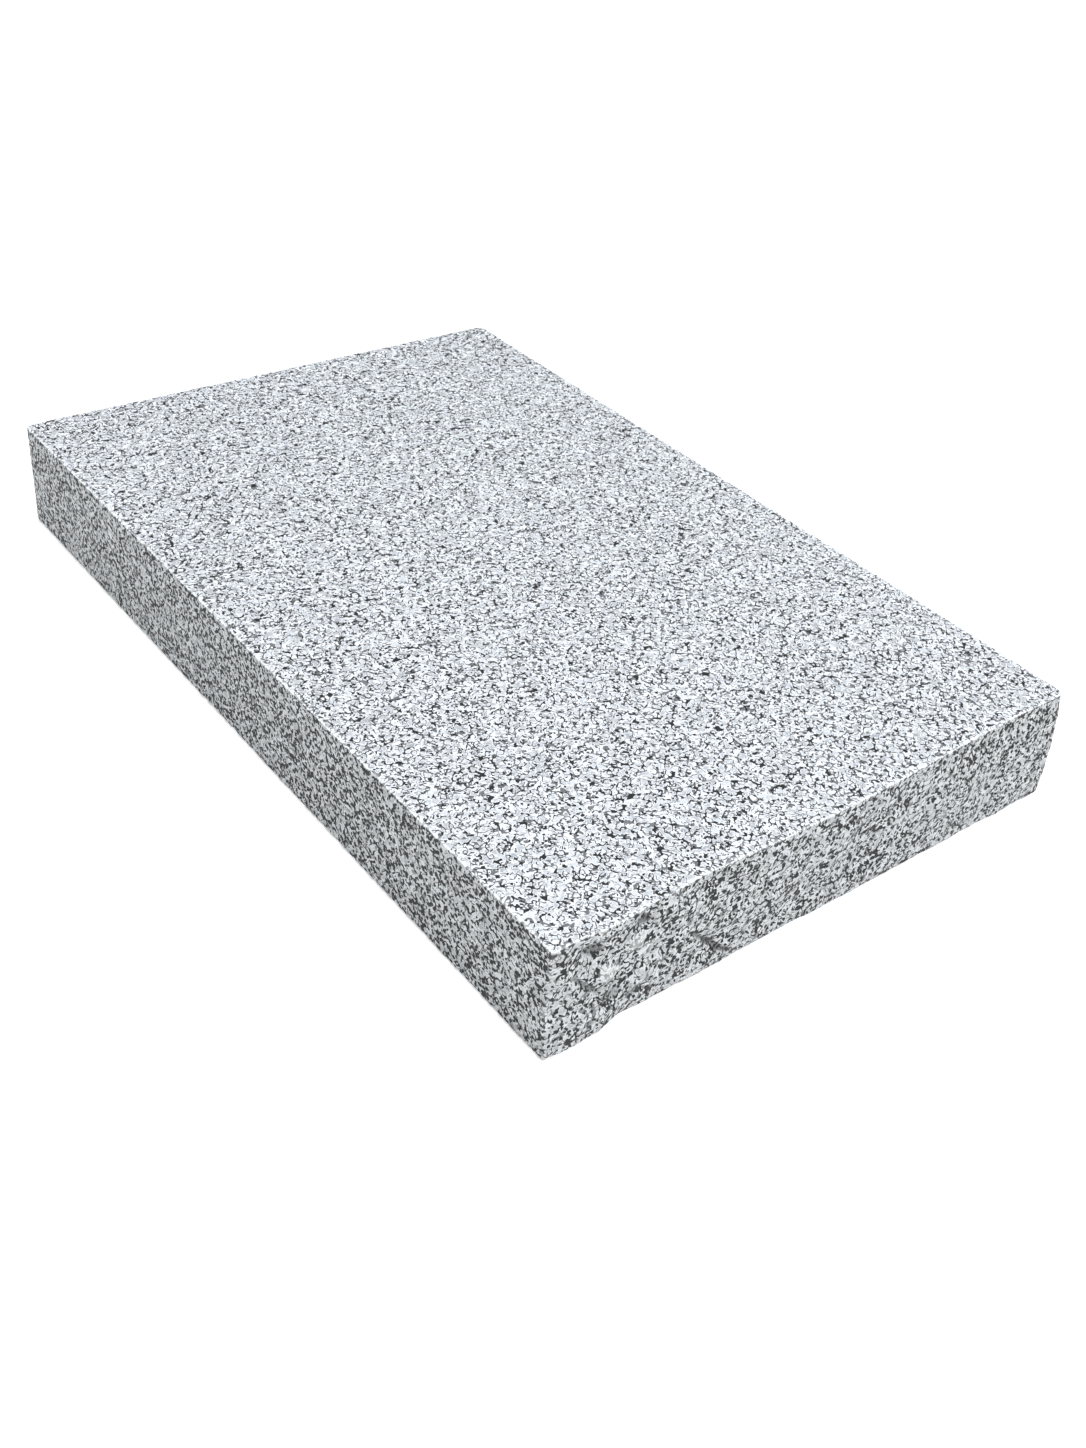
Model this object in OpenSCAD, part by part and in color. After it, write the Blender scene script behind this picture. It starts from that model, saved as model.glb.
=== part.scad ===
// Granite slab: a rectangular block of light grey stone with a flat bed, a flat top, two sawn long
// sides, one sawn end and one split, rock-faced end. It is one piece of stone.
// Millimetres, +Z up. The origin is on the bed, in the middle of the slab's overall length and width.
// The split end faces -Y and the sawn end faces +Y.

/* [Slab] */
// Overall length, from the sawn end to the proudest point of the split end
slab_length = 614; // [350:1:1200]
// Width between the two sawn long sides
slab_width = 400; // [220:5:600]
// Thickness between the bed and the top
slab_thickness = 75; // [50:1:150]

/* [Sawn arrises] */
// Bevel rubbed along the arrises of the top, where it meets the sawn sides and the sawn end
top_bevel = 1.2; // [0.4:0.1:4]
// Bevel along the arrises of the bed, which wear more when the slab is set down
bed_bevel = 2.2; // [0.4:0.1:5]
// Radius of the two upright corners of the sawn end
sawn_corner_radius = 6; // [1:0.5:15]

/* [Split end] */
// How far the foot of the split end flares out at its left corner, or is undercut if negative
left_flare = -0.2; // [-3:0.1:8]
// How far the foot of the split end flares out at its right corner, or is undercut if negative
right_flare = 3.6; // [-3:0.1:8]
// Radius of the worn upright corner of the split end on its left, next to the left side
left_corner_radius = 2; // [1:0.5:12]
// Radius of the worn upright corner of the split end on its right, at the top arris
right_corner_radius = 6; // [1:0.5:15]
// Share of that radius that is left at the foot of the corner
right_corner_taper = 0.5; // [0.1:0.05:1]
// Radius of the worn foot of the split end
foot_radius = 2; // [1:0.5:10]
// Width of the large facets that the stone broke into
large_facet = 34; // [20:1:60]
// Depth of the large facets, either way
large_facet_depth = 0.9; // [0:0.1:3]
// Width of the small facets
small_facet = 13; // [8:1:20]
// Depth of the small facets, either way
small_facet_depth = 0.75; // [0:0.05:2]
// Share of the facets' depth that is left at the split end's top arris and at its foot
arris_calm = 0.25; // [0:0.05:1]
// Distance from the arris, and from the foot, over which the facets reach their full depth
margin_depth = 14; // [5:1:30]
// Distance between the points of the split surface
relief_step = 7; // [6:0.5:15]

/* [Hidden] */

// Bosses that stand out of the split end. Each is [share of the width from the left corner, share
// of the thickness up from the bed, half width, half height, height].
bosses = [
    [0.050, 0.06, 30, 30, 3.9],
    [0.135, 0.73, 12, 10, 1.6],
    [0.095, 0.54, 9, 8, 1.8],
    [0.100, 1.00, 22, 14, 1.4],
    [0.230, 0.32, 30, 16, 1.0],
    [0.430, 0.55, 46, 24, 0.9],
    [0.500, 1.00, 72, 30, 1.6],
    [0.720, 0.62, 56, 26, 1.0],
];
// Scallops broken out of the split end, in the same terms, with their depth last.
scallops = [
    [0.065, 0.80, 14, 11, 2.8],
    [0.148, 0.87, 8, 7, 2.4],
    [0.250, 1.00, 28, 22, 1.4],
    [0.085, 0.36, 16, 11, 3.0],
    [0.175, 0.50, 20, 12, 2.6],
    [0.137, 0.00, 11, 11, 1.6],
    [0.290, 0.27, 24, 13, 2.8],
    [0.560, 0.34, 34, 18, 1.8],
    [0.860, 0.42, 30, 20, 1.6],
    [0.900, 1.00, 100, 45, 2.4],
];

// Blocks run past a cut by this much, and the split face overhangs the block by this much
overcut = 1;
overhang = 15;
// Where the points lie in a worn edge, as shares of its radius
worn_places = [0, 0.12, 0.4];
// Flats to each rounded corner of the sawn end
corner_steps = 6;
// Directions of the two facet lattices, turned so that neither follows the slab's edges
large_facet_turn = 24;
small_facet_turn = -37;
large_facet_seed = 11;
small_facet_seed = 47;

half_length = slab_length / 2;
half_width = slab_width / 2;

// ---- the relief of the split end, as a setback from its proudest plane ----

function smooth(t) = let (c = max(0, min(1, t))) c * c * (3 - 2 * c);

// A dome: full height at its centre and nothing at its rim. s is the place across and h up. With
// edge 1 it meets the face at a slope, and with edge 2 it fades in.
function dome(s, h, d, edge) =
    let (
        a = (s - d[0] * slab_width) / d[2],
        b = (h - d[1] * slab_thickness) / d[3],
        r = a * a + b * b
    )
    r < 1 ? d[4] * pow(1 - r, edge) : 0;
function domes(s, h, list, edge) =
    let (heights = [for (d = list) dome(s, h, d, edge)])
    heights * [for (d = list) 1];

// A lattice of random heights, joined by flat triangles. It covers the face at any turn.
function lattice_cells(size) = ceil((slab_width + slab_thickness) / size) + 2;
function lattice(size, seed) =
    let (n = 2 * lattice_cells(size) + 1, heights = rands(-1, 1, n * n, seed))
    [for (i = [0:n - 1]) [for (j = [0:n - 1]) heights[i * n + j]]];
function facet(s, h, size, turn, heights) =
    let (
        middle = lattice_cells(size),
        a = (s * cos(turn) - h * sin(turn)) / size + middle,
        b = (s * sin(turn) + h * cos(turn)) / size + middle,
        i = floor(a), j = floor(b), p = a - i, q = b - j,
        low = heights[i][j], right = heights[i + 1][j],
        up = heights[i][j + 1], far = heights[i + 1][j + 1]
    )
    p > q ? low + (right - low) * p + (far - right) * q : low + (far - up) * p + (up - low) * q;

large_heights = lattice(large_facet, large_facet_seed);
small_heights = lattice(small_facet, small_facet_seed);

// A rounded edge: how far it stands back at a distance from the edge
function worn(distance, radius) =
    let (d = max(0, distance))
    d < radius ? radius - sqrt(radius * radius - pow(radius - d, 2)) : 0;

function relief(s, h) =
    let (
        across = s / slab_width,
        flare = left_flare + (right_flare - left_flare) * across,
        calm = arris_calm
            + (1 - arris_calm) * smooth(min(h, slab_thickness - h) / margin_depth),
        facets = large_facet_depth * facet(s, h, large_facet, large_facet_turn, large_heights)
            + small_facet_depth * facet(s, h, small_facet, small_facet_turn, small_heights),
        taper = right_corner_taper + (1 - right_corner_taper) * h / slab_thickness
    )
    - flare * (1 - h / slab_thickness)
    - domes(s, h, bosses, 1)
    + domes(s, h, scallops, 2)
    + facets * calm
    + worn(s, left_corner_radius)
    + worn(slab_width - s, right_corner_radius * taper)
    + worn(h, foot_radius);

// Places along a line: close together in a worn edge, evenly spaced between, and past both ends
function places(length, start_radius, end_radius) =
    let (
        inner = length - start_radius - end_radius,
        count = ceil(inner / relief_step)
    )
    concat(
        [-overhang],
        start_radius > 0 ? [for (c = worn_places) c * start_radius] : [],
        [for (i = [0:count]) start_radius + inner * i / count],
        end_radius > 0
            ? [for (k = [len(worn_places) - 1:-1:0]) length - worn_places[k] * end_radius]
            : [],
        [length + overhang]
    );

columns = places(slab_width, left_corner_radius, right_corner_radius);
rows = places(slab_thickness, foot_radius, 0);
grid = [
    for (h = rows) [
        for (s = columns)
            relief(max(0, min(slab_width, s)), max(0, min(slab_thickness, h)))
    ]
];
// Setbacks are counted from the proudest point, so that it lies at the slab's overall length
proudest = min([for (row = grid) min(row)]);

// ---- solids ----

// The slab from above, with its two rounded corners at the sawn end
module plan() {
    r = sawn_corner_radius;
    turns = [0:90 / corner_steps:90];
    polygon(concat(
        [[-half_width, -half_length - overcut], [half_width, -half_length - overcut]],
        [for (a = turns) [half_width - r + r * cos(a), half_length - r + r * sin(a)]],
        [for (a = turns) [-half_width + r - r * sin(a), half_length - r + r * cos(a)]]
    ));
}

// The slab from one end, with a bevel along each of its four long arrises
module end_section() {
    polygon([
        [-half_width + bed_bevel, 0],
        [half_width - bed_bevel, 0],
        [half_width, bed_bevel],
        [half_width, slab_thickness - top_bevel],
        [half_width - top_bevel, slab_thickness],
        [-half_width + top_bevel, slab_thickness],
        [-half_width, slab_thickness - top_bevel],
        [-half_width, bed_bevel],
    ]);
}

// The slab from one side, with bevels at the sawn end only
module side_section() {
    start = -half_length - 2 * overcut;
    polygon([
        [start, 0],
        [half_length - bed_bevel, 0],
        [half_length, bed_bevel],
        [half_length, slab_thickness - top_bevel],
        [half_length - top_bevel, slab_thickness],
        [start, slab_thickness],
    ]);
}

// The block as it leaves the saw, still long at the end that is split off
module sawn_block() {
    intersection() {
        linear_extrude(slab_thickness)
            plan();
        translate([0, half_length + overcut, 0])
            rotate([90, 0, 0])
                linear_extrude(slab_length + 3 * overcut)
                    end_section();
        translate([-half_width - overcut, 0, 0])
            rotate([90, 0, 90])
                linear_extrude(slab_width + 2 * overcut)
                    side_section();
    }
}

// The waste that breaks away from the split end. Its face is the relief, and it tapers to one
// point a slab's width behind, so the face overhangs the block by more than the taper takes off.
module split_waste() {
    nx = len(columns);
    nz = len(rows);
    apex = nx * nz;
    rim = concat(
        [for (i = [0:nx - 2]) i],
        [for (j = [0:nz - 2]) j * nx + nx - 1],
        [for (i = [nx - 1:-1:1]) (nz - 1) * nx + i],
        [for (j = [nz - 1:-1:1]) j * nx]
    );
    polyhedron(
        points = concat(
            [for (j = [0:nz - 1]) for (i = [0:nx - 1])
                [columns[i] - half_width, -half_length + grid[j][i] - proudest, rows[j]]],
            [[0, -half_length - slab_width, slab_thickness / 2]]
        ),
        faces = concat(
            [for (j = [0:nz - 2]) for (i = [0:nx - 2])
                each [
                    [j * nx + i, (j + 1) * nx + i + 1, (j + 1) * nx + i],
                    [j * nx + i, j * nx + i + 1, (j + 1) * nx + i + 1]
                ]],
            [for (k = [0:len(rim) - 1]) [rim[(k + 1) % len(rim)], rim[k], apex]]
        ),
        convexity = 10
    );
}

module slab() {
    color([0.78, 0.80, 0.82])
        difference() {
            sawn_block();
            split_waste();
        }
}

slab();
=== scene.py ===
"""Granite slab: a dense stone mesh around the CAD block, with a procedural granite material."""
import math

import bpy
import numpy as np
from mathutils import Matrix, Vector
from mathutils.bvhtree import BVHTree


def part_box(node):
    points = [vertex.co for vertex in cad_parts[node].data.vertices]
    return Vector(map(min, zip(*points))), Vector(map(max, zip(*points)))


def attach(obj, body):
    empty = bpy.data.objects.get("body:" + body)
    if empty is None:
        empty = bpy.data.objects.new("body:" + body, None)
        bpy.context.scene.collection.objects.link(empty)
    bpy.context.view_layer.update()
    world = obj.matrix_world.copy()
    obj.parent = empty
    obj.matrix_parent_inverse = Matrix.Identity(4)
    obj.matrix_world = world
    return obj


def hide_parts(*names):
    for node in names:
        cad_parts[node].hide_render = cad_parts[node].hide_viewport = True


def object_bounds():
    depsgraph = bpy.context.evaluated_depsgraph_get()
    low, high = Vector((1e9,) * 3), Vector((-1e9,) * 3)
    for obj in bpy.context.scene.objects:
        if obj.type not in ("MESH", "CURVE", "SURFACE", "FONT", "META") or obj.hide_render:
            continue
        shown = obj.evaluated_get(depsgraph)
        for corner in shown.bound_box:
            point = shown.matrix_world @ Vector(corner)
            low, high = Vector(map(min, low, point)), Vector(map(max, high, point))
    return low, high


MM = 0.001

# ---- the camera, from the slab's near left bottom corner, in metres and degrees ----
CAMERA_OFFSET = (-0.3465, -0.3594, 0.5896)
CAMERA_HEADING = 41.72
CAMERA_DIP = 37.19
CAMERA_ROLL = 6.51
CAMERA_LENS = 37.7

# ---- the stone's edges, in millimetres ----
# Near is the split end. Left and right are as seen when facing it, so left is -X.
NEAR_LEFT_RADIUS = 2.0
NEAR_RIGHT_RADIUS = 6.0
NEAR_RIGHT_TAPER = 0.5
SAWN_CORNER_RADIUS = 6.0
TOP_ARRIS_RADIUS = 0.9
FOOT_ARRIS_RADIUS = 2.2
SPLIT_ARRIS_RADIUS = 0.8
SPLIT_FOOT_RADIUS = 2.0
# Length over which the split end's relief fades out along the slab
BLEND_LENGTH = 45.0
# Height over which the split end grows calm towards its arris and its foot
CALM_HEIGHT = 12.0
# Features of the split end by its left corner, outward: centre across and up from that corner's
# foot, half size, height, how sharp the rim is, and turn in degrees.
NEAR_BUMPS = [
    ((54, 54), (8, 8), 1.5, 0.8, 20),
    ((63, 44), (7, 7), 1.2, 0.8, -20),
    ((39, 41), (8, 7), 1.9, 0.7, -35),
    ((59, 65), (5, 4), -2.8, 1.0, 0),
    ((28, 61), (9, 6), -1.8, 1.0, -12),
    ((42, 22), (11, 6), -1.2, 1.0, 15),
    ((60, 15), (7, 6), -1.4, 1.0, 0),
    ((28, 12), (4, 3), -1.6, 1.0, 0),
]
# Creases of the same corner: start, end, depth and half width.
NEAR_CREASES = [
    ((13, 50), (38, 25), 2.0, 2.4),
    ((92, 39), (117, 18), 1.6, 2.6),
    ((107, 26), (131, 4), 2.6, 2.6),
]
# The broken foot by that corner, in the same terms as a bump, and the ledge above it: start, end,
# height, and how far up it eases back.
NEAR_FOOT = ((22, 8), (24, 19), 0.7, 0.5, 0)
NEAR_LEDGE = ((55, 24), (98, 41), 1.5, 14)
# A feature this high, or this deep, gets its full painted highlight or its full painted shade.
FULL_PAINTED_LIGHT_HEIGHT = 1.6

# ---- the stone's minerals, as linear colours ----
FELDSPAR = (0.58, 0.60, 0.625, 1)
FELDSPAR_DULL = (0.42, 0.435, 0.455, 1)
FELDSPAR_WHITE = (0.88, 0.895, 0.91, 1)
QUARTZ = (0.34, 0.355, 0.38, 1)
MICA = (0.012, 0.013, 0.014, 1)
# Painted shade for the split end's pits and creases, not a mineral.
PAINTED_CREASE_SHADE = (0.06, 0.062, 0.060, 1)
# What the colours are multiplied by on the flamed top, which is paler and bluer, and elsewhere.
TOP_TINT = (1.07, 1.10, 1.135, 1)
SIDE_TINT = (0.985, 0.995, 0.99, 1)

# ---- mesh spacing, in millimetres ----
FINE_STEP = 1.15
TOP_STEP = 2.6
SIDE_STEP = 3.0
BED_STEP = 8.0
ARRIS_LINES = (0.45, 1.0, 1.7, 2.6, 3.8)


# ---------------------------------------------------------------- noise

def hashed(cells, seed):
    """A repeatable random number from 0 to 1 for each row of whole numbers."""
    h = np.full(len(cells), seed * 2654435761 + 97, np.uint64)
    for column in range(cells.shape[1]):
        h ^= cells[:, column].astype(np.int64).astype(np.uint64) * np.uint64(0x9E3779B97F4A7C15)
        h ^= h >> np.uint64(29)
        h *= np.uint64(0xBF58476D1CE4E5B9)
        h ^= h >> np.uint64(32)
    return (h >> np.uint64(40)).astype(float) / float(1 << 24)


def value_noise(points, cell, seed):
    """Smooth noise from -1 to 1. Points are rows of coordinates in millimetres."""
    p = points / cell + 1000.0
    base = np.floor(p).astype(np.int64)
    f = p - base
    f = f * f * f * (f * (f * 6 - 15) + 10)
    total = np.zeros(len(p))
    dims = p.shape[1]
    for corner in range(1 << dims):
        bits = np.array([(corner >> d) & 1 for d in range(dims)])
        weight = np.prod(np.where(bits, f, 1 - f), axis=1)
        total += weight * hashed(base + bits, seed)
    return total * 2 - 1


def rough_noise(points, cell, seed, octaves=3, gain=0.5):
    total, size, reach = np.zeros(len(points)), 1.0, 0.0
    for k in range(octaves):
        total += size * value_noise(points, cell / 2 ** k, seed + 31 * k)
        reach += size
        size *= gain
    return total / reach


def conchoid(points, cell, tilt, bowl, seed):
    """Shallow scallops that meet in sharp ridges, as stone breaks. Height is outward, about 0."""
    base = np.floor(points / cell).astype(np.int64)
    lowest = np.full(len(points), 1e9)
    for i in range(-2, 3):
        for j in range(-2, 3):
            home = base + np.array([i, j])
            x = (home[:, 0] + hashed(home, seed)) * cell
            y = (home[:, 1] + hashed(home, seed + 1)) * cell
            dx, dy = (points[:, 0] - x) / cell, (points[:, 1] - y) / cell
            height = (
                0.6 * (hashed(home, seed + 2) - 0.5)
                + tilt * (hashed(home, seed + 3) - 0.5) * dx
                + tilt * (hashed(home, seed + 4) - 0.5) * dy
                + bowl * (dx * dx + dy * dy)
            )
            lowest = np.minimum(lowest, height)
    return lowest


def smooth(t):
    t = np.clip(t, 0.0, 1.0)
    return t * t * (3 - 2 * t)


# ---------------------------------------------------------------- the box's surface as a mesh

def lines(low, high, step):
    """Coordinates strictly inside low..high: close together near both ends, even between."""
    margins, inmost = ARRIS_LINES[:-1], ARRIS_LINES[-1]
    count = max(2, int(round((high - low - 2 * inmost) / step)))
    middle = np.linspace(low + inmost, high - inmost, count + 1)
    return np.concatenate([[low + m for m in margins], middle, [high - m for m in margins[::-1]]])


def zip_strip(outer, inner, outer_at, inner_at):
    """Triangles between two rows of points that run the same way."""
    faces, i, j = [], 0, 0
    while i < len(outer) - 1 or j < len(inner) - 1:
        step_outer = j == len(inner) - 1 or (
            i < len(outer) - 1 and outer_at[i + 1] <= inner_at[j + 1]
        )
        if step_outer:
            faces.append((outer[i], outer[i + 1], inner[j]))
            i += 1
        else:
            faces.append((outer[i], inner[j + 1], inner[j]))
            j += 1
    return faces


def patch(border_u, border_v, inner_u, inner_v):
    """One side of the box in its own plane: a grid inside, joined to its border by triangles.
    Returns its points and faces."""
    nu, nv = len(inner_u), len(inner_v)
    points = [(u, v) for v in inner_v for u in inner_u]

    def border_row(row):
        points.extend(row)
        return list(range(len(points) - len(row), len(points)))

    bottom = border_row([(u, border_v[0]) for u in border_u])
    top = border_row([(u, border_v[-1]) for u in border_u])
    left = border_row([(border_u[0], v) for v in border_v])
    right = border_row([(border_u[-1], v) for v in border_v])
    quads = [
        (j * nu + i, j * nu + i + 1, (j + 1) * nu + i + 1, (j + 1) * nu + i)
        for j in range(nv - 1) for i in range(nu - 1)
    ]
    first_row, last_row = list(range(nu)), list(range((nv - 1) * nu, nv * nu))
    first_column, last_column = list(range(0, nu * nv, nu)), list(range(nu - 1, nu * nv, nu))
    tris = zip_strip(bottom, first_row, border_u, inner_u)
    tris += zip_strip(right, last_column, border_v, inner_v)
    backward = zip_strip(top, last_row, border_u, inner_u)
    backward += zip_strip(left, first_column, border_v, inner_v)
    return np.array(points), quads + tris + [t[::-1] for t in backward]


def box_surface(low, high):
    """The box's six sides, in millimetres, as points and faces."""
    borders = [
        np.concatenate([[low[axis]], lines(low[axis], high[axis], step), [high[axis]]])
        for axis, step in enumerate((FINE_STEP, TOP_STEP, FINE_STEP))
    ]
    sides = [  # fixed axis, at its high end, the other two axes u and v, step
        (1, False, 0, 2, FINE_STEP),
        (1, True, 0, 2, SIDE_STEP),
        (0, False, 1, 2, SIDE_STEP),
        (0, True, 1, 2, SIDE_STEP),
        (2, True, 0, 1, TOP_STEP),
        (2, False, 0, 1, BED_STEP),
    ]
    points, faces = [], []
    for fixed, at_high, u, v, step in sides:
        flat, flat_faces = patch(
            borders[u], borders[v], lines(low[u], high[u], step), lines(low[v], high[v], step)
        )
        solid = np.zeros((len(flat), 3))
        solid[:, u], solid[:, v] = flat[:, 0], flat[:, 1]
        solid[:, fixed] = high[fixed] if at_high else low[fixed]
        turned = (fixed == 1) == at_high  # u x v is -Y for the ends, +X and +Z for the others
        start = sum(len(p) for p in points)
        for face in flat_faces:
            face = tuple(start + i for i in face)
            faces.append(face[::-1] if turned else face)
        points.append(solid)
    points = np.concatenate(points)
    _, first, same = np.unique(np.round(points, 5), axis=0, return_index=True, return_inverse=True)
    same = same.reshape(-1)
    return points[first], [tuple(same[i] for i in face) for face in faces]


# ---------------------------------------------------------------- the stone's shape

def break_surface(node, low, high):
    """The CAD's split end as a function: how far it stands back at x, z, without its worn edges."""
    mesh = node.data
    tree = BVHTree.FromPolygons(
        [v.co for v in mesh.vertices], [tuple(p.vertices) for p in mesh.polygons]
    )
    inset, step = 5.0, 3.0
    xs = np.arange(low[0] + inset, high[0] - inset + step, step)
    zs = np.arange(low[2] + inset, high[2] - 1.0, step)
    depth = np.zeros((len(xs), len(zs)))
    for i, x in enumerate(xs):
        for j, z in enumerate(zs):
            x_in = min(x, high[0] - inset)
            hit = tree.ray_cast(Vector((x_in * MM, low[1] * MM - 1, z * MM)), Vector((0, 1, 0)))
            depth[i, j] = hit[0].y / MM - low[1]

    def stand_back(x, z):
        a = np.clip((x - xs[0]) / step, 0, len(xs) - 1.001)
        b = np.clip((z - zs[0]) / step, 0, len(zs) - 1.001)
        i, j = a.astype(int), b.astype(int)
        p, q = smooth(a - i), smooth(b - j)
        near = depth[i, j] * (1 - p) + depth[i + 1, j] * p
        far = depth[i, j + 1] * (1 - p) + depth[i + 1, j + 1] * p
        return near * (1 - q) + far * q

    return stand_back


def bump_at(s, h, centre, size, height, edge, turn):
    """A bump (or a dent, where height is negative) on the split end."""
    c, k = math.cos(math.radians(turn)), math.sin(math.radians(turn))
    a = ((s - centre[0]) * c + (h - centre[1]) * k) / size[0]
    b = (-(s - centre[0]) * k + (h - centre[1]) * c) / size[1]
    return height * np.clip(1 - a * a - b * b, 0, 1) ** edge


def line_distance(s, h, start, end):
    """How far a point lies along a line, as a share, and above it, in millimetres."""
    dx, dy = end[0] - start[0], end[1] - start[1]
    length = math.hypot(dx, dy)
    along = ((s - start[0]) * dx + (h - start[1]) * dy) / length ** 2
    above = ((h - start[1]) * dx - (s - start[0]) * dy) / length
    return along, above


def ledge_at(s, h, start, end, height, reach):
    """Stone that stands proud above a line, in a sharp step, and eases back over `reach`."""
    along, above = line_distance(s, h, start, end)
    ends = smooth(along / 0.15) * smooth((1 - along) / 0.15)
    return height * ends * smooth(above / 1.6 + 0.5) * np.exp(-np.clip(above, 0, None) / reach)


def crease_at(s, h, start, end, depth, half_width):
    """A narrow broken line, deepest in its middle."""
    along, above = line_distance(s, h, start, end)
    ends = smooth(along / 0.2) * smooth((1 - along) / 0.2)
    return -depth * ends * np.clip(1 - np.abs(above) / half_width, 0, 1)


def landmarks(s, h):
    """The broken features that can be told apart by the near corner, outward in millimetres."""
    bumps = sum(bump_at(s, h, *bump) for bump in NEAR_BUMPS)
    return bumps + sum(crease_at(s, h, *crease) for crease in NEAR_CREASES)


def break_detail(s, h, height):
    """What the CAD is too coarse for, outward from its surface, and the landmarks' share of it,
    which later sets the painted highlight and painted shade.
    s is across, h is up from the bed."""
    p = np.stack([s, h], axis=1)
    warp = np.stack([value_noise(p, 16, 5), value_noise(p, 16, 6)], axis=1) * 4
    q = p + warp
    calm = 0.25 + 0.75 * smooth(np.minimum(h, height - h) / CALM_HEIGHT)
    rough = 1.5 * (conchoid(q, 26, 1.4, 0.9, 21) + 0.1)
    rough += 0.9 * (conchoid(q, 11, 1.4, 0.9, 33) + 0.1)
    out = rough * calm
    out += 0.45 * (conchoid(p + warp * 0.5, 5.0, 1.2, 0.8, 45) + 0.1) * (0.4 + 0.6 * calm)
    out += 0.20 * rough_noise(p, 3.2, 57)
    s, h = s + warp[:, 0] * 0.35, h + warp[:, 1] * 0.35
    out += bump_at(s, h, *NEAR_FOOT)
    out += ledge_at(s, h, *NEAR_LEDGE)
    painted_light_and_shade = landmarks(s, h)
    return out + painted_light_and_shade, painted_light_and_shade


def edge_radii(at_split, wear, chip):
    """The radii of the worn edges round the top and round the bed, for each point."""
    top = np.where(at_split, SPLIT_ARRIS_RADIUS, TOP_ARRIS_RADIUS)
    foot = np.where(at_split, SPLIT_FOOT_RADIUS, FOOT_ARRIS_RADIUS)
    return top * (1 + 0.25 * wear) + 0.45 * chip, foot * (1 + 0.35 * wear) + 0.8 * chip


def round_edge(wall, level, radius):
    """Turns the square edge between a wall and the top or bed into a quarter round. Takes and
    returns each point's distances from the two."""
    a, b = np.clip(radius - wall, 0, None), np.clip(radius - level, 0, None)
    both = (a > 0) & (b > 0)
    stretch = np.where(both, np.maximum(a, b) / np.maximum(np.hypot(a, b), 1e-9), 1.0)
    return np.where(both, radius - a * stretch, wall), np.where(both, radius - b * stretch, level)


def round_corner(wall_x, wall_y, new_wall, corner):
    """Turns each square upright corner into a quarter round. Takes each point's distances from the
    nearest side and the nearest end, and returns them at its new distance from the wall."""
    vx, vy = np.clip(corner - wall_x, 0, None), np.clip(corner - wall_y, 0, None)
    in_corner = (vx > 0) & (vy > 0)
    reach = np.maximum(np.maximum(vx, vy), 1e-9)
    shrink = (corner - new_wall) / reach
    round_off = reach / np.maximum(np.hypot(vx, vy), 1e-9)
    on_x = wall_x <= wall_y
    new_x = np.where(in_corner, corner - vx * shrink * round_off, np.where(on_x, new_wall, wall_x))
    new_y = np.where(in_corner, corner - vy * shrink * round_off, np.where(on_x, wall_y, new_wall))
    return new_x, new_y


def arris_wear_and_highlight(wall_x, wall_y, level, wear):
    """How rubbed each point is, which also sets a painted highlight: 1 along the arrises, fading
    over a couple of millimetres.
    """
    wall, upright = np.minimum(wall_x, wall_y), np.maximum(wall_x, wall_y)
    nearest, second = np.minimum(wall, level), np.maximum(wall, level)
    arris = np.minimum(np.where(nearest < 0.01, second, 99), np.where(wall < 0.01, upright, 99))
    return np.exp(-(arris / (1.5 + 0.7 * wear)) ** 2)


def stone_shape(box_points, low, high, stand_back):
    """Moves the box's points onto the stone, in millimetres. Returns them, how rubbed each one is,
    which also sets a painted highlight on the arrises, and how far it stands out or in at a
    landmark, from -1 to 1, for the painted highlight and painted shade."""
    x, y, z = box_points.T.copy()
    at_split = smooth(1 - (y - low[1]) / BLEND_LENGTH)
    wear = rough_noise(box_points, 22, 71, 3)
    chip = smooth((rough_noise(box_points, 9, 83, 2) - 0.25) / 0.35)
    near_end, at_left = y < (low[1] + high[1]) / 2, x < (low[0] + high[0]) / 2
    near_top = z > (low[2] + high[2]) / 2

    wall_x, wall_y = np.minimum(x - low[0], high[0] - x), np.minimum(y - low[1], high[1] - y)
    level = np.where(near_top, high[2] - z, z - low[2])
    radius = np.where(near_top, *edge_radii(at_split > 0.9, wear, chip))
    new_wall, new_level = round_edge(np.minimum(wall_x, wall_y), level, radius)
    z = np.where(near_top, high[2] - new_level, low[2] + new_level)

    up = (z - low[2]) / (high[2] - low[2])
    near_right = NEAR_RIGHT_RADIUS * (NEAR_RIGHT_TAPER + (1 - NEAR_RIGHT_TAPER) * up)
    near_corner = np.where(at_left, NEAR_LEFT_RADIUS, near_right)
    corner = np.where(near_end, near_corner, SAWN_CORNER_RADIUS)
    new_x, new_y = round_corner(wall_x, wall_y, new_wall, corner)
    x = np.where(at_left, low[0] + new_x, high[0] - new_x)
    y = np.where(near_end, low[1] + new_y, high[1] - new_y)

    detail, painted_light_and_shade = break_detail(x - low[0], z - low[2], high[2] - low[2])
    y = y + np.clip(stand_back(x, z) - detail, 0.05, None) * at_split
    on_break = smooth(1 - wall_y / 6) * near_end
    # How much painted highlight (standing out) or painted shade (set in) each point of the split
    # end gets, from -1 to 1.
    painted_light_and_shade = np.clip(painted_light_and_shade / FULL_PAINTED_LIGHT_HEIGHT, -1, 1) * on_break
    return np.stack([x, y, z], axis=1), arris_wear_and_highlight(wall_x, wall_y, level, wear), painted_light_and_shade


def surface_grain(points, normals):
    """How far the skin lies below the ideal surface: flamed, split at one end, or sawn."""
    up, end = np.clip(normals[:, 2], 0, 1), np.clip(-normals[:, 1], 0, 1)
    flamed = 0.20 * (1 + rough_noise(points, 7, 101, 3, 0.7))
    split = 0.10 * (1 + rough_noise(points, 3, 113, 2))
    sawn = 0.05 * (1 + rough_noise(points, 5, 127, 2))
    return sawn + (flamed - sawn) * up ** 2 + (split - sawn) * end ** 2


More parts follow.
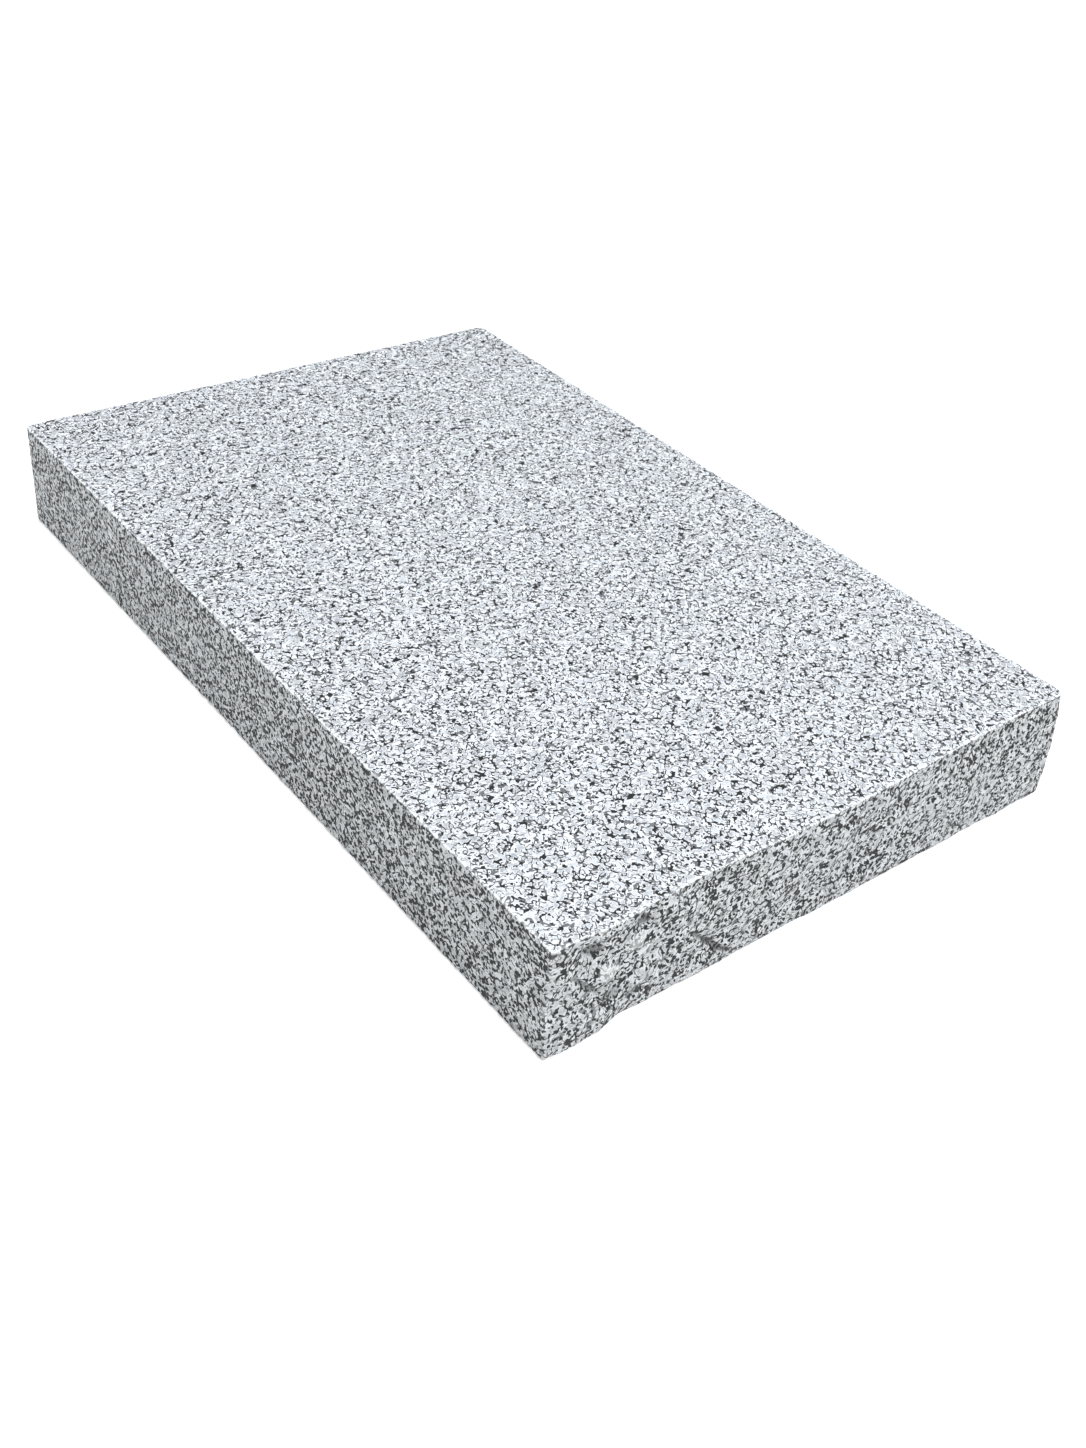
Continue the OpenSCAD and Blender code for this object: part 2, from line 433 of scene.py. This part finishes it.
def build_slab(node):
    low, high = (np.array(c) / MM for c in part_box(node.name))
    stand_back = break_surface(node, low, high)
    points, faces = box_surface(low, high)
    points, worn_and_highlit, painted_light_and_shade = stone_shape(points, low, high, stand_back)
    mesh = bpy.data.meshes.new("granite_slab")
    mesh.from_pydata((points * MM).tolist(), [], faces)
    mesh.update()
    normals = np.zeros(len(points) * 3, np.float32)
    mesh.vertices.foreach_get("normal", normals)
    normals = normals.reshape(-1, 3)
    points = points - normals * surface_grain(points, normals)[:, None]
    points = np.clip(points, low, high)
    mesh.vertices.foreach_set("co", (points * MM).astype(np.float32).reshape(-1))
    mesh.update()
    mesh.shade_smooth()
    # The attributes hold the arrises' wear, which also sets a painted highlight, and the landmarks'
    # painted highlight and painted shade.
    for name, values in (("wear", worn_and_highlit), ("painted_light_and_shade", painted_light_and_shade)):
        layer = mesh.attributes.new(name, "FLOAT", "POINT")
        layer.data.foreach_set("value", values.astype(np.float32))
    slab = bpy.data.objects.new("granite_slab", mesh)
    bpy.context.scene.collection.objects.link(slab)
    return slab


# ---------------------------------------------------------------- the material

class Nodes:
    """Short calls for building a node tree."""

    def __init__(self, material):
        self.tree = material.node_tree
        self.tree.nodes.clear()

    def add(self, kind, **values):
        node = self.tree.nodes.new(kind)
        for name, value in values.items():
            setattr(node, name, value)
        return node

    def feed(self, socket, value):
        if isinstance(value, bpy.types.NodeSocket):
            self.tree.links.new(value, socket)
        else:
            socket.default_value = value

    def math(self, operation, a, b=0.0):
        node = self.add("ShaderNodeMath", operation=operation)
        self.feed(node.inputs[0], a)
        self.feed(node.inputs[1], b)
        return node.outputs[0]

    def times(self, a, b):
        return self.math("MULTIPLY", a, b)

    def larger(self, a, b):
        return self.math("MAXIMUM", a, b)

    def ramp(self, value, low, high, out_low=0.0, out_high=1.0, smooth_step=True):
        node = self.add("ShaderNodeMapRange", clamp=True,
                        interpolation_type="SMOOTHSTEP" if smooth_step else "LINEAR")
        for name, v in (("Value", value), ("From Min", low), ("From Max", high),
                        ("To Min", out_low), ("To Max", out_high)):
            self.feed(node.inputs[name], v)
        return node.outputs["Result"]

    def between(self, factor, at_zero, at_one):
        """Goes straight from one value to the other as the factor goes from 0 to 1."""
        return self.ramp(factor, 0.0, 1.0, at_zero, at_one, smooth_step=False)

    def noise(self, vector, cell, detail=2.0, roughness=0.5, colour=False):
        node = self.add("ShaderNodeTexNoise", noise_dimensions="3D")
        self.feed(node.inputs["Vector"], vector)
        node.inputs["Scale"].default_value = 1 / cell
        node.inputs["Detail"].default_value = detail
        node.inputs["Roughness"].default_value = roughness
        return node.outputs["Color" if colour else "Fac"]

    def voronoi(self, vector, cell):
        node = self.add("ShaderNodeTexVoronoi", voronoi_dimensions="3D", feature="F1")
        self.feed(node.inputs["Vector"], vector)
        node.inputs["Scale"].default_value = 1 / cell
        node.inputs["Randomness"].default_value = 1.0
        return node

    def mix(self, factor, a, b, blend="MIX"):
        node = self.add("ShaderNodeMix", data_type="RGBA", blend_type=blend)
        self.feed(node.inputs[0], factor)
        self.feed(node.inputs[6], a)
        self.feed(node.inputs[7], b)
        return node.outputs[2]

    def moved(self, vector, by):
        node = self.add("ShaderNodeVectorMath", operation="ADD")
        self.feed(node.inputs[0], vector)
        self.feed(node.inputs[1], by)
        return node.outputs[0]

    def shift(self, vector, amount, by):
        """vector + (by - 0.5) * amount, for a colour `by`."""
        centred = self.add("ShaderNodeVectorMath", operation="SUBTRACT")
        self.feed(centred.inputs[0], by)
        centred.inputs[1].default_value = (0.5, 0.5, 0.5)
        scaled = self.add("ShaderNodeVectorMath", operation="SCALE")
        self.feed(scaled.inputs[0], centred.outputs[0])
        scaled.inputs["Scale"].default_value = amount
        return self.moved(vector, scaled.outputs[0])

    def separate(self, colour):
        node = self.add("ShaderNodeSeparateColor")
        self.feed(node.inputs[0], colour)
        return node.outputs


def strokes(n, place, cell, width, length, offset):
    """Thin curling strokes, where one noise crosses its middle and another breaks the line.
    Returns the stroke and the narrow band beside it."""
    place = n.moved(place, (offset, offset * 1.7, offset * 2.3))
    bent = n.shift(place, cell * 0.35, n.noise(place, cell * 0.5, 0.0, colour=True))
    across = n.math("ABSOLUTE", n.math("SUBTRACT", n.noise(bent, cell, 0.0), 0.5))
    reach = n.math("DIVIDE", across, width)
    broken = n.noise(place, length, 0.0)
    line = n.times(n.ramp(reach, 0.85, 1.15, 1.0, 0.0), n.ramp(broken, 0.47, 0.50))
    band = n.times(n.ramp(reach, 1.4, 2.4, 1.0, 0.0), n.ramp(broken, 0.40, 0.47))
    return line, band


def flecks(n, place, cell, share, radius):
    """Small dark grains, in a share of the cells of a lattice, and the narrow ring round each."""
    bent = n.shift(place, cell * 0.6, n.noise(place, cell * 0.6, 0.0, colour=True))
    grains = n.voronoi(bent, cell)
    pick = n.separate(grains.outputs["Color"])
    chosen = n.ramp(pick[0], 1 - share, 1 - share + 0.01)
    size = n.times(n.between(pick[1], 0.6, 1.0), radius)
    outside = n.math("SUBTRACT", grains.outputs["Distance"], size)
    grain = n.times(chosen, n.ramp(outside, -0.03, 0.03, 1.0, 0.0))
    ring = n.times(chosen, n.ramp(outside, 0.12, 0.30, 1.0, 0.0))
    return grain, ring


def mica(n, place, on_top):
    """Strokes and flecks of mica, bolder on the sides than on the flamed top. Returns the thin
    strokes, the bold grains, and the ground close beside them."""
    line_1, band_1 = strokes(n, place, 4.6, 0.046, 5.0, 0.0)
    line_2, band_2 = strokes(n, place, 3.6, 0.050, 4.2, 57.0)
    line_3, band_3 = strokes(n, place, 4.8, n.between(on_top, 0.080, 0.046), 2.6, 91.0)
    grains, ring = flecks(n, place, 2.4, 0.42, n.between(on_top, 0.62, 0.41))
    beside = n.larger(n.larger(band_1, band_2), n.larger(band_3, ring))
    return n.larger(line_1, line_2), n.larger(grains, line_3), beside


def pale_ground(n, place, on_top, is_quartz):
    """Dull and white feldspar, with a few crystals of grey quartz."""
    dull_patch = n.ramp(n.noise(place, 6.0, 1.0), 0.38, 0.62)
    white_patch = n.ramp(n.noise(n.moved(place, (31.0, 47.0, 73.0)), 4.0, 1.0), 0.56, 0.64)
    whiteness = n.times(white_patch, n.between(on_top, 0.10, 0.80))
    feldspar = n.mix(dull_patch, FELDSPAR_DULL, FELDSPAR)
    feldspar = n.mix(whiteness, feldspar, FELDSPAR_WHITE)
    return n.mix(is_quartz, feldspar, QUARTZ)


def add_bump(n, shader, place, crystal_heights, bold):
    """Fine roughness: crystals stand at their own heights, and the mica lies a little lower."""
    grain = n.times(n.noise(place, 1.6, 3.0, 0.6), 0.7)
    height = n.math("ADD", grain, n.times(crystal_heights, 0.3))
    height = n.math("SUBTRACT", height, n.times(bold, 0.3))
    bump = n.add("ShaderNodeBump")
    bump.inputs["Strength"].default_value = 0.6
    bump.inputs["Distance"].default_value = 0.0005
    n.feed(bump.inputs["Height"], height)
    n.feed(shader.inputs["Normal"], bump.outputs[0])


def granite_material():
    material = bpy.data.materials.new("granite")
    material.use_nodes = True
    n = Nodes(material)
    in_mm = n.add("ShaderNodeVectorMath", operation="SCALE")
    n.feed(in_mm.inputs[0], n.add("ShaderNodeTexCoord").outputs["Object"])
    in_mm.inputs["Scale"].default_value = 1 / MM
    place = in_mm.outputs[0]
    direction = n.add("ShaderNodeSeparateXYZ")
    n.feed(direction.inputs[0], n.add("ShaderNodeNewGeometry").outputs["Normal"])
    upward = direction.outputs[2]
    on_top = n.ramp(upward, 0.55, 0.9)
    # This attribute holds the arrises' rubbed wear, which also sets their painted highlight.
    wear = n.add("ShaderNodeAttribute", attribute_name="wear").outputs["Fac"]
    # This attribute holds the landmarks' painted highlight and painted shade, from -1 to 1.
    painted_light_and_shade = n.add("ShaderNodeAttribute", attribute_name="painted_light_and_shade").outputs["Fac"]

    thin, bold, beside = mica(n, place, on_top)
    crystals = n.voronoi(n.shift(place, 1.6, n.noise(place, 1.6, 1.0, colour=True)), 3.0)
    crystal = n.separate(crystals.outputs["Color"])
    is_quartz = n.ramp(crystal[0], 0.90, 0.94)
    ground = pale_ground(n, place, on_top, is_quartz)

    # The ground is white close to the mica. Along the arrises, mostly on their top side, it is pale
    # partly from rubbed wear and partly as a painted highlight where the overhead light catches
    # them, and the mica is fainter there too.
    ground = n.mix(n.times(beside, n.between(on_top, 0.35, 0.62)), ground, FELDSPAR_WHITE)
    # Painted highlight on the top side of the arrises, together with their rubbed wear.
    rubbed_and_highlit = n.times(wear, n.ramp(upward, 0.2, 0.8, 0.2, 1.0))
    ground = n.mix(n.times(rubbed_and_highlit, 0.8), ground, FELDSPAR_WHITE)
    off_arris_wear_and_highlight = n.between(rubbed_and_highlit, 1.0, 0.5)
    thin_strength = n.times(off_arris_wear_and_highlight, n.between(on_top, 0.68, 0.82))
    colour = n.mix(n.times(thin, thin_strength), ground, MICA)
    colour = n.mix(n.times(bold, off_arris_wear_and_highlight), colour, MICA)

    # Freshly broken facets are pale, and the pits and creases hold dirt.
    # Painted highlight on the split end's bulging facets, and painted shade in its pits and
    # creases.
    colour = n.mix(n.ramp(painted_light_and_shade, 0.2, 0.9, 0.0, 0.35), colour, FELDSPAR_WHITE)
    colour = n.mix(n.ramp(painted_light_and_shade, -0.2, -0.9, 0.0, 0.60), colour, PAINTED_CREASE_SHADE)
    top_colour = n.mix(1.0, colour, TOP_TINT, "MULTIPLY")
    side_colour = n.mix(1.0, colour, SIDE_TINT, "MULTIPLY")

    shader = n.add("ShaderNodeBsdfPrincipled")
    n.feed(shader.inputs["Base Color"], n.mix(on_top, side_colour, top_colour))
    n.feed(shader.inputs["Roughness"], n.between(is_quartz, 0.72, 0.5))
    shader.inputs["Specular IOR Level"].default_value = 0.4
    add_bump(n, shader, place, crystal[1], bold)
    output = n.add("ShaderNodeOutputMaterial")
    n.feed(output.inputs["Surface"], shader.outputs[0])
    return material


# ---------------------------------------------------------------- the studio

def plain_material(name, colour, roughness):
    material = bpy.data.materials.new(name)
    material.use_nodes = True
    shader = material.node_tree.nodes["Principled BSDF"]
    shader.inputs["Base Color"].default_value = (*colour, 1)
    shader.inputs["Roughness"].default_value = roughness
    shader.inputs["Specular IOR Level"].default_value = 0.0
    return material


def add_floor():
    bpy.ops.mesh.primitive_circle_add(vertices=64, radius=14, fill_type="NGON", location=(0, 0, 0))
    floor = bpy.context.object
    floor.name = "floor"
    material = plain_material("floor", (0.97, 0.97, 0.975), 1.0)
    shader = material.node_tree.nodes["Principled BSDF"]
    shader.inputs["Emission Color"].default_value = (1, 1, 1, 1)
    shader.inputs["Emission Strength"].default_value = 0.40
    floor.data.materials.append(material)


def add_light(name, size, power, location, target):
    data = bpy.data.lights.new(name, "AREA")
    data.shape = "SQUARE"
    data.size = size
    data.energy = power
    light = bpy.data.objects.new(name, data)
    light.location = location
    light.rotation_euler = (Vector(target) - Vector(location)).to_track_quat("-Z", "Y").to_euler()
    bpy.context.scene.collection.objects.link(light)


def add_studio():
    world = bpy.data.worlds.new("studio")
    world.use_nodes = True
    world.node_tree.nodes["Background"].inputs["Color"].default_value = (0.98, 0.99, 1.0, 1)
    world.node_tree.nodes["Background"].inputs["Strength"].default_value = 0.36
    bpy.context.scene.world = world
    add_light("overhead", 3.6, 240, (0.45, -0.95, 4.3), (0, 0, 0))
    bpy.context.scene.view_settings.view_transform = "Standard"


def add_camera(low):
    """low is the CAD box's lowest corner, which is the slab's near left bottom corner."""
    heading, dip, roll = (math.radians(a) for a in (CAMERA_HEADING, CAMERA_DIP, CAMERA_ROLL))
    data = bpy.data.cameras.new("camera")
    data.lens = CAMERA_LENS
    data.clip_start = 0.01
    camera = bpy.data.objects.new("camera", data)
    turn = (
        Matrix.Rotation(-heading, 4, "Z")
        @ Matrix.Rotation(math.pi / 2 - dip, 4, "X")
        @ Matrix.Rotation(roll, 4, "Z")
    )
    camera.matrix_world = Matrix.Translation(Vector(low) + Vector(CAMERA_OFFSET)) @ turn
    bpy.context.scene.collection.objects.link(camera)
    bpy.context.scene.camera = camera


# ---------------------------------------------------------------- the scene

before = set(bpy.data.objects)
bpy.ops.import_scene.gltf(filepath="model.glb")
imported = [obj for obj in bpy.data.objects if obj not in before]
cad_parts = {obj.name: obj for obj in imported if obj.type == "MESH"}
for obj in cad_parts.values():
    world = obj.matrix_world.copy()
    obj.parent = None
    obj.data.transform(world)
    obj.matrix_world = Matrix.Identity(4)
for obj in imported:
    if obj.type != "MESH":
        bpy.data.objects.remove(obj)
cad_box = [list(corner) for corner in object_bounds()]

add_camera(cad_box[0])
add_studio()
add_floor()

slab = build_slab(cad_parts["slab"])
slab.data.materials.append(granite_material())
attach(slab, "root")
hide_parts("slab")
